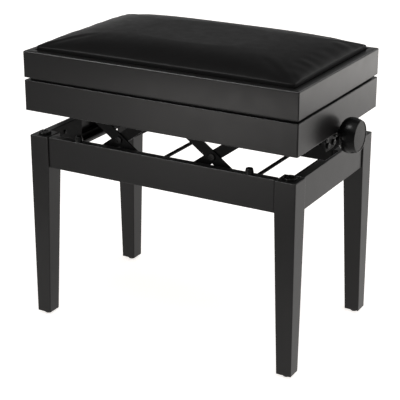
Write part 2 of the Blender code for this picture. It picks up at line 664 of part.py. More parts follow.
def hinge_leaf(name, low, parent, finish, first):
    """Return one leaf of the long hinge, with every second knuckle."""
    plate_low = HINGE_Z - KNUCKLE_RADIUS if low else HINGE_Z + KNUCKLE_RADIUS - HINGE_LEAF
    plate_near = SEAT_DEPTH / 2 - (PANEL_THICKNESS - LIP_THICKNESS) + GAP
    plate_far = HINGE_Y - KNUCKLE_RADIUS - KNUCKLE_NECK
    half = HINGE_LENGTH / 2
    high = (half, plate_far, plate_low + HINGE_LEAF)
    leaf = block(name, (-half, plate_near, plate_low), high, None, finish)
    pitch = HINGE_LENGTH / HINGE_KNUCKLES
    for index in range(first, HINGE_KNUCKLES, 2):
        start = -half + index * pitch + GAP / 2
        near = (start, plate_far - GAP, plate_low)
        far = (start + pitch - GAP, HINGE_Y, plate_low + HINGE_LEAF)
        join(leaf, block("neck", near, far))
        place = (start, HINGE_Y, HINGE_Z)
        knuckle = rod("knuckle", KNUCKLE_RADIUS, pitch - GAP, (1, 0, 0), place, None, None, KNUCKLE_SIDES)
        join(leaf, knuckle)
    world_place = leaf.location.copy()
    leaf.parent = parent
    leaf.location = world_place - parent.location


def lid_section():
    """Return the (depth, height) outline of the lid border, with a rounded upper edge."""
    points = [(0, LID_BOTTOM)]
    steps = 4
    for step in range(steps + 1):
        angle = math.pi / 2 * step / steps
        depth = LID_ROUNDING * (1 - math.cos(angle))
        points.append((depth, LID_TOP - LID_ROUNDING + LID_ROUNDING * math.sin(angle)))
    points.append((LID_BORDER, LID_TOP))
    points.append((LID_BORDER, LID_BOTTOM))
    return points


def build_lid(lid_pivot):
    """Build the lid: a mitred wooden border round a board that carries the cushion."""
    shape = bmesh.new()
    section = lid_section()
    rings = []
    for x_sign, y_sign in ((-1, -1), (1, -1), (1, 1), (-1, 1)):
        ring = []
        for depth, height in section:
            across = x_sign * (SEAT_LENGTH / 2 - depth)
            back = y_sign * (SEAT_DEPTH / 2 - depth)
            ring.append(shape.verts.new((across, back, height)))
        rings.append(ring)
    count = len(section)
    for corner in range(4):
        ring = rings[corner]
        following = rings[(corner + 1) % 4]
        for index in range(count):
            after = (index + 1) % count
            shape.faces.new((ring[index], ring[after], following[after], following[index]))
    border = finish_mesh("lid_border", shape, (0, 0, 0), None, WOOD)
    border.parent = lid_pivot
    border.location = -lid_pivot.location

    reach_x = SEAT_LENGTH / 2 - LID_BORDER - GAP
    reach_y = SEAT_DEPTH / 2 - LID_BORDER - GAP
    bottom = LID_BOTTOM + BOARD_RECESS
    top = bottom + BOARD_THICKNESS
    block("lid_board", (-reach_x, -reach_y, bottom), (reach_x, reach_y, top), lid_pivot, BOARD)
    build_cushion(reach_x - GAP, reach_y - GAP, top + GAP, lid_pivot)


def cushion_outline(reach_x, reach_y, corner_steps=5, side_steps=8):
    """Return a rounded rectangle as points, evenly spaced along each side."""
    points = []
    corners = ((1, 1), (-1, 1), (-1, -1), (1, -1))
    for index, (x_sign, y_sign) in enumerate(corners):
        middle = Vector((x_sign * (reach_x - CUSHION_CORNER), y_sign * (reach_y - CUSHION_CORNER)))
        for step in range(corner_steps + 1):
            angle = math.pi / 2 * (index + step / corner_steps)
            points.append(middle + CUSHION_CORNER * Vector((math.cos(angle), math.sin(angle))))
        next_x, next_y = corners[(index + 1) % 4]
        following = Vector((next_x * (reach_x - CUSHION_CORNER), next_y * (reach_y - CUSHION_CORNER)))
        turn = math.pi / 2 * (index + 1)
        start = points[-1]
        end = following + CUSHION_CORNER * Vector((math.cos(turn), math.sin(turn)))
        for step in range(1, side_steps):
            points.append(start.lerp(end, step / side_steps))
    return points


def build_cushion(reach_x, reach_y, bottom, lid_pivot):
    """Build the crowned cushion from rings that shrink towards its middle."""
    outline = cushion_outline(reach_x, reach_y)
    side_top = LID_TOP + CUSHION_SIDE
    shape = bmesh.new()

    def fullness(share):
        return max(0.0, 1 - abs(share) ** CUSHION_ROUNDNESS) ** (1 / CUSHION_ROUNDNESS)

    def crown(point):
        return side_top + CUSHION_CROWN * fullness(point.x / reach_x) * fullness(point.y / reach_y)

    rings = [[shape.verts.new((point.x, point.y, bottom)) for point in outline]]
    rings.append([shape.verts.new((point.x, point.y, side_top - CUSHION_EDGE)) for point in outline])
    for share in CUSHION_RINGS:
        ring = []
        for point in outline:
            inner = point * share
            ring.append(shape.verts.new((inner.x, inner.y, crown(inner))))
        rings.append(ring)
    count = len(outline)
    for lower, upper in zip(rings, rings[1:]):
        for index in range(count):
            after = (index + 1) % count
            shape.faces.new((lower[index], lower[after], upper[after], upper[index]))
    shape.faces.new(rings[0])
    top = shape.verts.new((0, 0, crown(Vector((0, 0)))))
    for index in range(count):
        shape.faces.new((rings[-1][index], rings[-1][(index + 1) % count], top))
    cushion = finish_mesh("cushion", shape, (0, 0, 0), None, COVER)
    cushion.parent = lid_pivot
    cushion.location = -lid_pivot.location


def main():
    """Build every piece of the bench."""
    clear_scene()
    for end, end_sign in ENDS:
        for face, face_sign in FACES:
            build_leg(end, end_sign, face, face_sign)
        build_short_rail(end, end_sign)
    for face, face_sign in FACES:
        build_long_rail(face, face_sign)
        build_track(face, face_sign)
    for end, centre_x in LIFTS:
        build_lift(end, centre_x)
    seat_pivot = make_pivot("pivot_seat", (LIFTS[0][1] - ARM_RUN, 0, AXLE_HIGH))
    build_box(seat_pivot)
    for end, end_sign in ENDS:
        build_bracket(end, end_sign, seat_pivot)
    build_spindle()
    build_nut()
    lid_pivot = make_pivot("pivot_lid", (0, HINGE_Y, HINGE_Z))
    build_lid(lid_pivot)
    hinge_leaf("hinge_leaf_box", True, seat_pivot, BARE_STEEL, 0)
    hinge_leaf("hinge_leaf_lid", False, lid_pivot, BARE_STEEL, 1)


main()
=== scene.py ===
"""Finished model of a height-adjustable piano bench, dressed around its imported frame.

The frame is +X along the bench, +Y to the back and +Z up, in metres, with the origin on the
floor under the middle of the seat.  Every new piece is modelled in place and rides on a body of
the frame.
"""

import json
import logging
import math
from collections.abc import Iterable, Sequence
from dataclasses import dataclass, field
from enum import Enum

import bmesh
import bpy
from mathutils import Euler, Matrix, Vector


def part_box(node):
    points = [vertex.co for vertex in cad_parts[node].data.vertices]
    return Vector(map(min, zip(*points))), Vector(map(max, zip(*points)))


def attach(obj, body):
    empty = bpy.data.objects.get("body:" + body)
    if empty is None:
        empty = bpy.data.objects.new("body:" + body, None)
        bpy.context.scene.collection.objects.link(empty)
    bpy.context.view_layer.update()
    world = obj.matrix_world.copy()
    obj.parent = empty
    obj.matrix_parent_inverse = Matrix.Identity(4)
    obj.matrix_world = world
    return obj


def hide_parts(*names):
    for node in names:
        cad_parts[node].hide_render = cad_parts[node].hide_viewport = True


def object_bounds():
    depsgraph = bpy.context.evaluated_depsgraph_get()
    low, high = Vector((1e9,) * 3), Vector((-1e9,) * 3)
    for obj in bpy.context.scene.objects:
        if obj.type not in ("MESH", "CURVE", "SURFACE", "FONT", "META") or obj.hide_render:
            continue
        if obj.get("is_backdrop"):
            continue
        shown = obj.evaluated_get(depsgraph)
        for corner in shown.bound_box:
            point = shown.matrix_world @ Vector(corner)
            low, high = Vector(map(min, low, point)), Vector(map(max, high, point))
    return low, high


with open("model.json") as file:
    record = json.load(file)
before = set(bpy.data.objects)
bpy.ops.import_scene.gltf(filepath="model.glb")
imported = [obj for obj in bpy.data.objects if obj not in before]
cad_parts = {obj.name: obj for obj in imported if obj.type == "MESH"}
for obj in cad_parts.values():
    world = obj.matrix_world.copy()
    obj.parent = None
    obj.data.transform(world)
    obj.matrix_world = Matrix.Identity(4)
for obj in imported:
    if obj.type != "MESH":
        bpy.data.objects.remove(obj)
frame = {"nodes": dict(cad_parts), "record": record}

LOG = logging.getLogger("bench")
CAD_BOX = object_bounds()
MILLIMETRE = 0.001
EDGE_SAMPLES = 12
MIDDLE_RANGE = (0.3, 0.7)
UP = Vector((0, 0, 1))
DOWN = Vector((0, 0, -1))
ENDS: tuple[tuple[str, int], ...] = (("left", -1), ("right", 1))
FACES: tuple[tuple[str, int], ...] = (("front", -1), ("back", 1))

Colour = tuple[float, float, float]
Corners = tuple[Vector, Vector]
Socket = bpy.types.NodeSocket
Piece = bpy.types.Object


class Drive(Enum):
    """What a screw head is turned with."""

    CROSS = "cross"
    HEX = "hex"
    PLAIN = "plain"


class Grain(Enum):
    """Which way the wood of a piece runs."""

    ALONG = 0
    ACROSS = 1
    UPRIGHT = 2


# ---------------------------------------------------------------- finishes


class Graph:
    """The node graph of one material, with short calls that add nodes and join them."""

    def __init__(self, name: str) -> None:
        """Start a Principled material.

        Args:
            name: Name of the material.
        """
        self.material = bpy.data.materials.new(name)
        self.material.use_nodes = True
        self.tree = self.material.node_tree
        self.shader = self.tree.nodes["Principled BSDF"]
        self.place = self.tree.nodes.new("ShaderNodeTexCoord").outputs["Object"]

    def add(self, kind: str, **values: float | tuple[float, ...]) -> bpy.types.Node:
        """Add a node.

        Args:
            kind: Blender's name of the node type.
            values: Values of input sockets, with underscores for spaces.

        Returns:
            The new node.
        """
        node = self.tree.nodes.new(kind)
        for label, value in values.items():
            node.inputs[label.replace("_", " ")].default_value = value
        return node

    def join(self, source: Socket, target: Socket) -> None:
        """Link an output to an input."""
        self.tree.links.new(source, target)

    def stretched(self, scale: Sequence[float]) -> Socket:
        """Return the piece's coordinates, scaled by a factor along each axis."""
        mapping = self.add("ShaderNodeMapping", Scale=tuple(scale))
        self.join(self.place, mapping.inputs["Vector"])
        return mapping.outputs["Vector"]

    def noise(self, scale: float, detail: float = 3.0, place: Socket | None = None) -> Socket:
        """Return a cloudy pattern.

        Args:
            scale: Features per metre.
            detail: How many finer layers are added.
            place: Coordinates, or None for the piece's own.

        Returns:
            The pattern from 0 to 1.
        """
        node = self.add("ShaderNodeTexNoise", Scale=scale, Detail=detail)
        self.join(place or self.place, node.inputs["Vector"])
        return node.outputs["Fac"]

    def cells(self, scale: float, smoothness: float = 0.35) -> Socket:
        """Return a pattern of rounded cells, as on leather."""
        node = self.tree.nodes.new("ShaderNodeTexVoronoi")
        node.feature = "SMOOTH_F1"
        node.inputs["Scale"].default_value = scale
        node.inputs["Smoothness"].default_value = smoothness
        self.join(self.place, node.inputs["Vector"])
        return node.outputs["Distance"]

    def spread(self, source: Socket, low: float, high: float) -> Socket:
        """Return a pattern's middle range spread between two values."""
        start, end = MIDDLE_RANGE
        node = self.add("ShaderNodeMapRange", From_Min=start, From_Max=end, To_Min=low, To_Max=high)
        self.join(source, node.inputs["Value"])
        return node.outputs["Result"]

    def tint(self, source: Socket, first: Colour, second: Colour) -> None:
        """Colour the piece from one tone to another by a pattern."""
        node = self.tree.nodes.new("ShaderNodeMix")
        node.data_type = "RGBA"
        node.inputs["A"].default_value = (*first, 1.0)
        node.inputs["B"].default_value = (*second, 1.0)
        self.join(self.spread(source, 0.0, 1.0), node.inputs["Factor"])
        self.join(node.outputs["Result"], self.shader.inputs["Base Color"])

    def relief(self, layers: Iterable[tuple[Socket, float]], edge: float = 0.0) -> None:
        """Raise the surface by patterns, and round its edges in the shading if asked.

        Args:
            layers: Pairs of a pattern and its depth in millimetres.
            edge: Rounding of the edges in millimetres, or 0 to leave them as modelled.
        """
        normal = None
        if edge:
            bevel = self.add("ShaderNodeBevel", Radius=edge * MILLIMETRE)
            bevel.samples = EDGE_SAMPLES
            normal = bevel.outputs["Normal"]
        for height, depth in layers:
            bump = self.add("ShaderNodeBump", Strength=1.0, Distance=depth * MILLIMETRE)
            self.join(height, bump.inputs["Height"])
            if normal:
                self.join(normal, bump.inputs["Normal"])
            normal = bump.outputs["Normal"]
        self.join(normal, self.shader.inputs["Normal"])

    def rough(self, source: Socket, low: float, high: float) -> None:
        """Vary the gloss between two roughness values by a pattern."""
        self.join(self.spread(source, low, high), self.shader.inputs["Roughness"])

    def fixed(self, **values: float | tuple[float, ...]) -> None:
        """Set values of the shader that are the same all over."""
        for label, value in values.items():
            self.shader.inputs[label.replace("_", " ")].default_value = value


@dataclass(frozen=True)
class Finish:
    """A surface finish, made once and shared by the pieces that have it."""

    name: str
    tone: Colour
    lift: float
    rough: tuple[float, float]

    def lighter(self) -> Colour:
        """Return the tone's lighter neighbour."""
        return tuple(channel * self.lift for channel in self.tone)

    def dress(self, graph: Graph) -> None:
        """Add this finish's nodes to a graph.

        Args:
            graph: Graph of the new material.
        """
        raise NotImplementedError

    def material(self) -> bpy.types.Material:
        """Return the finish's material, made when it is first asked for."""
        found = bpy.data.materials.get(self.name)
        if found:
            return found
        graph = Graph(self.name)
        graph.material.diffuse_color = (*self.tone, 1.0)
        self.dress(graph)
        return graph.material


@dataclass(frozen=True)
class Lacquer(Finish):
    """Satin lacquer on wood, with the grain just telling through it."""

    grain: Grain = Grain.ALONG
    gloss: float = 0.18
    edge: float = 2.2

    def dress(self, graph: Graph) -> None:
        """Add soft clouding, fine grain streaks, orange peel and softly rounded edges."""
        scale = [1.0, 1.0, 1.0]
        scale[self.grain.value] = 0.05
        streaks = graph.noise(420.0, 4.0, graph.stretched(scale))
        clouds = graph.noise(9.0, 2.0)
        graph.tint(clouds, self.tone, self.lighter())
        graph.rough(graph.noise(38.0, 1.0), *self.rough)
        graph.relief([(streaks, 0.012), (graph.noise(900.0, 2.0), 0.004)], self.edge)
        graph.fixed(Specular_IOR_Level=self.gloss)


@dataclass(frozen=True)
class Leatherette(Finish):
    """Soft coated cloth with a fine pressed grain."""

    gloss: float = 0.3

    def dress(self, graph: Graph) -> None:
        """Add pressed cells, the creases between them and faint clouding."""
        graph.tint(graph.noise(14.0, 3.0), self.tone, self.lighter())
        graph.rough(graph.noise(60.0, 4.0), *self.rough)
        creases, coarse, fine = graph.noise(150.0, 3.0), graph.cells(620.0), graph.cells(1500.0)
        graph.relief([(creases, 0.012), (coarse, 0.05), (fine, 0.02)])
        graph.fixed(Specular_IOR_Level=self.gloss)


@dataclass(frozen=True)
class PaintedSteel(Finish):
    """Black stoved paint on pressed steel."""

    gloss: float = 0.35

    def dress(self, graph: Graph) -> None:
        """Add the paint's fine pebbling and a slight clouding of its gloss."""
        graph.tint(graph.noise(22.0, 4.0), self.tone, self.lighter())
        graph.rough(graph.noise(120.0, 4.0), *self.rough)
        graph.relief([(graph.noise(1300.0, 2.0), 0.03), (graph.noise(240.0, 2.0), 0.02)])
        graph.fixed(Specular_IOR_Level=self.gloss)


@dataclass(frozen=True)
class BareSteel(Finish):
    """Dark browned steel with turning and rolling marks along it."""

    def dress(self, graph: Graph) -> None:
        """Add streaks along the piece and darker spots of oil."""
        streaks = graph.noise(1500.0, 3.0, graph.stretched((0.06, 1.0, 1.0)))
        graph.tint(graph.noise(70.0, 5.0), self.tone, self.lighter())
        graph.rough(graph.noise(180.0, 5.0), *self.rough)
        graph.relief([(streaks, 0.01)])
        graph.fixed(Metallic=1.0)


@dataclass(frozen=True)
class Moulded(Finish):
    """Moulded plastic or rubber with a fine texture from its tool."""

    texture: float = 0.02
    gloss: float = 0.5

    def dress(self, graph: Graph) -> None:
        """Add the tool's texture and soft clouding of the gloss."""
        graph.tint(graph.noise(45.0, 3.0), self.tone, self.lighter())
        graph.rough(graph.noise(90.0, 4.0), *self.rough)
        graph.relief([(graph.noise(1700.0, 2.0), self.texture)])
        graph.fixed(Specular_IOR_Level=self.gloss)


@dataclass(frozen=True)
class Board(Finish):
    """Stained fibre board with its short fibres showing."""

    def dress(self, graph: Graph) -> None:
        """Add short fibres and a dry, uneven stain."""
        fibres = graph.noise(700.0, 5.0, graph.stretched((0.3, 1.0, 1.0)))
        graph.tint(fibres, self.tone, self.lighter())
        graph.rough(graph.noise(30.0, 3.0), *self.rough)
        graph.relief([(fibres, 0.05)])
        graph.fixed(Specular_IOR_Level=0.3)


@dataclass(frozen=True)
class Pool:
    """A soft oval pool of light on the floor."""

    centre: tuple[float, float]
    reach: tuple[float, float]
    turn: float
    level: float

    def add(self, graph: Graph) -> Socket:
        """Add the pool's nodes to a graph and return its brightness."""
        where, size = (*self.centre, 0.0), (*self.reach, 1.0)
        mapping = graph.add("ShaderNodeMapping", Location=where, Scale=size)
        mapping.vector_type = "TEXTURE"
        mapping.inputs["Rotation"].default_value = (0.0, 0.0, math.radians(self.turn))
        graph.join(graph.place, mapping.inputs["Vector"])
        distance = graph.tree.nodes.new("ShaderNodeVectorMath")
        distance.operation = "LENGTH"
        graph.join(mapping.outputs["Vector"], distance.inputs[0])
        falloff = graph.add("ShaderNodeMapRange", From_Max=1.0, To_Min=self.level, To_Max=0.0)
        falloff.interpolation_type = "SMOOTHSTEP"
        graph.join(distance.outputs["Value"], falloff.inputs["Value"])
        return falloff.outputs["Result"]


@dataclass(frozen=True)
class Ground(Finish):
    """Pale studio floor that glows with painted light in soft pools, which only its reflections
    show.
    """

    glow: float = 0.12
    full_glow: float = 0.84
    glow_starts: float = -0.80
    glow_full: float = -0.42
    tint_of_glow: Colour = (1.0, 0.97, 0.94)
    gloss: float = 0.1
    pools: tuple[Pool, ...] = (
        Pool((-0.73, -1.88), (1.0, 0.60), 55.0, 9.5),
        Pool((1.3, 2.45), (1.35, 1.35), 0.0, 3.2),
    )

    def sweep(self, graph: Graph) -> Socket:
        """Return the glow round and behind the bench, which ends in front of it."""
        parts = graph.tree.nodes.new("ShaderNodeSeparateXYZ")
        graph.join(graph.place, parts.inputs["Vector"])
        edge = graph.add("ShaderNodeMapRange", To_Min=self.glow, To_Max=self.full_glow)
        edge.inputs["From Min"].default_value = self.glow_starts
        edge.inputs["From Max"].default_value = self.glow_full
        edge.interpolation_type = "SMOOTHSTEP"
        graph.join(parts.outputs["Y"], edge.inputs["Value"])
        return edge.outputs["Result"]

    def dress(self, graph: Graph) -> None:
        """Add barely visible clouding and the floor's painted glow: soft pools of light and a
        dimmer zone in front.
        """
        graph.tint(graph.noise(1.5, 2.0), self.tone, self.lighter())
        graph.fixed(Roughness=self.rough[0], Specular_IOR_Level=self.gloss)
        graph.fixed(Emission_Color=(*self.tint_of_glow, 1.0))
        total = self.sweep(graph)
        for pool in self.pools:
            both = graph.tree.nodes.new("ShaderNodeMath")
            graph.join(total, both.inputs[0])
            graph.join(pool.add(graph), both.inputs[1])
            total = both.outputs["Value"]
        # Painted light: the floor's emission, brightest in the pools and behind the bench, dim in
        # front of it.
        graph.join(total, graph.shader.inputs["Emission Strength"])


def lacquer(grain: Grain) -> Lacquer:
    """Return the bench's black satin lacquer for wood that runs one way."""
    name = f"lacquer_{grain.name.lower()}"
    return Lacquer(name, (0.0088, 0.0084, 0.0084), 1.2, (0.285, 0.315), grain)


COVER = Leatherette("leatherette", (0.0085, 0.0082, 0.0082), 1.2, (0.38, 0.44), 0.05)
PAINT = PaintedSteel("stoved_paint", (0.0045, 0.0045, 0.0045), 1.4, (0.44, 0.54), 0.06)
STEEL = BareSteel("browned_steel", (0.05, 0.049, 0.047), 1.5, (0.28, 0.42))
SCREWS = PaintedSteel("blackened_screws", (0.004, 0.004, 0.0042), 1.4, (0.26, 0.36), 0.12)
KNOB = Moulded("knob_moulding", (0.0022, 0.0022, 0.0023), 1.25, (0.24, 0.29), 0.010, 0.09)
GLIDE = Moulded("glide_moulding", (0.006, 0.006, 0.006), 1.2, (0.42, 0.5), 0.02, 0.3)
RUBBER = Moulded("rubber", (0.003, 0.003, 0.003), 1.3, (0.24, 0.32), 0.02, 0.12)
BOARD = Board("stained_board", (0.010, 0.0097, 0.0094), 1.5, (0.6, 0.75))
GROUND = Ground("pale_floor", (0.86, 0.86, 0.86), 1.01, (0.8, 0.8))
CAD_FINISHES: dict[str, Finish] = {
    "black_board": BOARD,
    "black_steel": PAINT,
    "bare_steel": STEEL,
    "black_rubber": RUBBER,
    "glide_plastic": GLIDE,
    "knob_plastic": KNOB,
    "cushion_cover": COVER,
}


# ---------------------------------------------------------------- mesh work

CROSS_ARM = 0.3
TINY = 1e-6
NEVER_SHARP = 180.0


@dataclass(frozen=True)
class Station:
    """One ring of a turned piece: how far along its axis, how wide, and its outline."""

    along: float
    radius: float
    drive: Drive = Drive.PLAIN

    def reach(self, angle: float) -> float:
        """Return the distance from the axis to the outline at an angle."""
        if self.drive is Drive.HEX:
            sector = math.pi / 3
            return self.radius * math.cos(sector / 2) / math.cos(angle % sector - sector / 2)
        if self.drive is Drive.CROSS:
            slim = self.radius * CROSS_ARM
            across = max(abs(math.cos(angle)), TINY)
            up = max(abs(math.sin(angle)), TINY)
            return max(min(self.radius / across, slim / up), min(slim / across, self.radius / up))
        return self.radius


class Shape:
    """A mesh being built from closed bodies."""

    def __init__(self) -> None:
        """Start with no faces."""
        self.mesh = bmesh.new()

    def ring(self, points: Iterable[Sequence[float]]) -> list[bmesh.types.BMVert]:
        """Return new vertices at some points."""
        return [self.mesh.verts.new(point) for point in points]

    def bands(self, rings: Sequence[list[bmesh.types.BMVert]]) -> None:
        """Join rings of equal length with bands of faces, and leave the ends open."""
        for near, far in zip(rings, rings[1:]):
            for index, corner in enumerate(near):
                after = (index + 1) % len(near)
                self.mesh.faces.new((corner, near[after], far[after], far[index]))

    def skin(self, rings: Sequence[list[bmesh.types.BMVert]]) -> None:
        """Join rings of equal length into a body that is capped at both ends."""
        self.bands(rings)
        self.mesh.faces.new(rings[0])
        self.mesh.faces.new(rings[-1])

    def turned(
        self, stations: Sequence[Station], start: Vector, direction: Vector, sides: int = 32
    ) -> None:
        """Add a body turned about an axis.

        Args:
            stations: Its outline, from the start.
            start: Point where the axis starts.
            direction: Direction of the axis.
            sides: Facets round it.
        """
        turn = Vector((1, 0, 0)).rotation_difference(direction).to_matrix()
        rings = []
        for station in stations:
            ring = []
            for step in range(sides):
                angle = 2 * math.pi * step / sides
                reach = station.reach(angle)
                spot = Vector((station.along, reach * math.cos(angle), reach * math.sin(angle)))
                ring.append(start + turn @ spot)
            rings.append(self.ring(ring))
        self.skin(rings)

    def piece(self, name: str, sharp: float = 38.0) -> Piece:
        """Turn the shape into a linked object.

        Args:
            name: Name of the piece.
            sharp: Angle in degrees above which an edge stays crisp.

        Returns:
            The new object, with its origin at the frame's.
        """
        bmesh.ops.recalc_face_normals(self.mesh, faces=self.mesh.faces)
        data = bpy.data.meshes.new(name)
        self.mesh.to_mesh(data)
        self.mesh.free()
        data.shade_smooth()
        data.set_sharp_from_angle(angle=math.radians(sharp))
        item = bpy.data.objects.new(name, data)
        bpy.context.collection.objects.link(item)
        return item


def settle(item: Piece) -> None:
    """Apply an object's modifiers to its mesh."""
    graph = bpy.context.evaluated_depsgraph_get()
    data = bpy.data.meshes.new_from_object(item.evaluated_get(graph))
    item.modifiers.clear()
    item.data = data


def place(
    item: Piece, body: str, slot: str, finish: Finish, stands_for: Iterable[str] = ()
) -> None:
    """Give a piece its finish and let it ride on its body.

    Args:
        item: The piece.
        body: Body of the frame that carries it.
        slot: Material slot of the record; not used.
        finish: Its surface.
        stands_for: Nodes of the frame that it replaces.
    """
    item.data.materials.clear()
    item.data.materials.append(finish.material())
    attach(item, body)
    nodes = list(stands_for)
    if nodes:
        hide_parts(*nodes)
    LOG.info("%s: %d faces, on %s", item.name, len(item.data.polygons), body)


def rounded(radius: float, height: float, edge: float, steps: int = 4) -> list[Station]:
    """Return the outline of a disc whose far edge is rounded.

    Args:
        radius: Radius of the disc.
        height: Its thickness.
        edge: Radius of the rounding.
        steps: Facets of the rounding.

    Returns:
        Stations from the near face to the far one.
    """
    stations = [Station(0, radius)]
    for step in range(steps + 1):
        angle = math.pi / 2 * step / steps
        along = height - edge + edge * math.sin(angle)
        stations.append(Station(along, radius - edge + edge * math.cos(angle)))
    return stations


@dataclass(frozen=True)
class ScrewHead:
    """The visible head of a screw or bolt."""

    radius: float
    height: float
    drive: Drive
    recess: float = 0.45
    depth: float = 0.6
    rounding: float = 0.6
    flare: float = 1.12

    def add(self, shape: Shape, seat: Vector, direction: Vector) -> None:
        """Add one head to a shape.

        Args:
            shape: Shape that collects the heads.
            seat: Middle of the face under the head.
            direction: Way the head looks.
        """
        stations = rounded(self.radius, self.height, self.height * self.rounding)
        floor = self.height * (1 - self.depth)
        inner = self.radius * self.recess
        stations.append(Station(self.height, inner * self.flare, self.drive))
        stations.append(Station(floor, inner, self.drive))
        shape.turned(stations, seat, direction)


def middle_of(node: str) -> tuple[Vector, Vector, Vector]:
    """Return the low corner, the high corner and the middle of a node of the frame."""
    low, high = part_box(node)
    return low, high, (low + high) / 2


# ---------------------------------------------------------------- the bench


@dataclass
class Woodwork:
    """Legs, rails, box panels and boards, which keep the frame's own meshes."""

    upright: tuple[str, ...] = ("leg_",)
    across: tuple[str, ...] = ("rail_left", "rail_right", "panel_left", "panel_right")

    def grain(self, node: str) -> Grain:
        """Return which way a node's wood runs."""
        if node.startswith(self.upright):
            return Grain.UPRIGHT
        return Grain.ACROSS if node in self.across else Grain.ALONG

    def build(self) -> None:
        """Give every node of the frame its finish."""
        for row in frame["record"]["subparts"]:
            node, slot = row["node"], row["material_slot"]
            finish = CAD_FINISHES.get(slot) or lacquer(self.grain(node))
            data = frame["nodes"][node].data
            data.materials.clear()
            data.materials.append(finish.material())


@dataclass
class LidBorder:
    """Four mitred wooden rails round the cushion, with a rounded upper edge."""

    rounding: float = 0.0026
    inner_rounding: float = 0.0008
    soft_edge: float = 0.0005
    clearance: float = 0.0003
    mitre: float = 0.00015
    steps: int = 6

    def section(self, width: float, low: float, high: float) -> list[tuple[float, float]]:
        """Return the rail's outline as depth from the outer face and height.

        Args:
            width: Width of the rail.
            low: Height of its underside.
            high: Height of its top.

        Returns:
            Points round the outline.
        """
        soft, small = self.soft_edge, self.inner_rounding
        points = [(width - soft, low), (soft, low), (0.0, low + soft)]
        for step in range(self.steps + 1):
            angle = math.pi / 2 * step / self.steps
            depth = self.rounding * (1 - math.cos(angle))
            points.append((depth, high - self.rounding * (1 - math.sin(angle))))
        points.append((width - small, high))
        points.append((width - small * 0.3, high - small * 0.3))
        points.append((width, high - small))
        points.append((width, low + soft))
        return points

    def build(self) -> None:
        """Build the four rails as one piece on the lid."""
        low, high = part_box("lid_border")
        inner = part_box("lid_board")[1].x + self.clearance
        section = self.section(high.x - inner, low.z, high.z)
        shape = Shape()
        for quarter in range(4):
            long_side = quarter % 2 == 0
            reach, face = (high.x, high.y) if long_side else (high.y, high.x)
            turn = Matrix.Rotation(math.pi / 2 * quarter, 3, "Z")
            rings = []
            for end in (-1, 1):
                ring = []
                for depth, height in section:
                    spot = Vector((end * (reach - depth - self.mitre), depth - face, height))
                    ring.append(turn @ spot)
                rings.append(shape.ring(ring))
            shape.skin(rings)
        place(shape.piece("lid_rails"), "lid", "black_wood", lacquer(Grain.ALONG), ["lid_border"])


@dataclass(frozen=True)
class Cloth:
    """How the cushion's cover behaves as cloth over its foam."""

    quality: int = 6
    mass: float = 0.3
    stretch: float = 18
    shear: float = 8
    bending: float = 0.6
    pressure: float = 4.0
    frames: int = 20

    def add(self, item: Piece, held: str) -> None:
        """Give a piece the cloth, with one group of its vertices held in place.

        Args:
            item: The piece.
            held: Name of the vertex group.
        """
        cloth = item.modifiers.new("cover", "CLOTH")
        settings = cloth.settings
        settings.quality = self.quality
        settings.mass = self.mass
        settings.tension_stiffness = self.stretch
        settings.compression_stiffness = self.stretch
        settings.shear_stiffness = self.shear
        settings.bending_stiffness = self.bending
        settings.use_pressure = True
        settings.uniform_pressure_force = self.pressure
        settings.effector_weights.gravity = 0.0
        settings.vertex_group_mass = held
        cloth.collision_settings.use_collision = False
        cloth.point_cache.frame_start, cloth.point_cache.frame_end = 1, self.frames


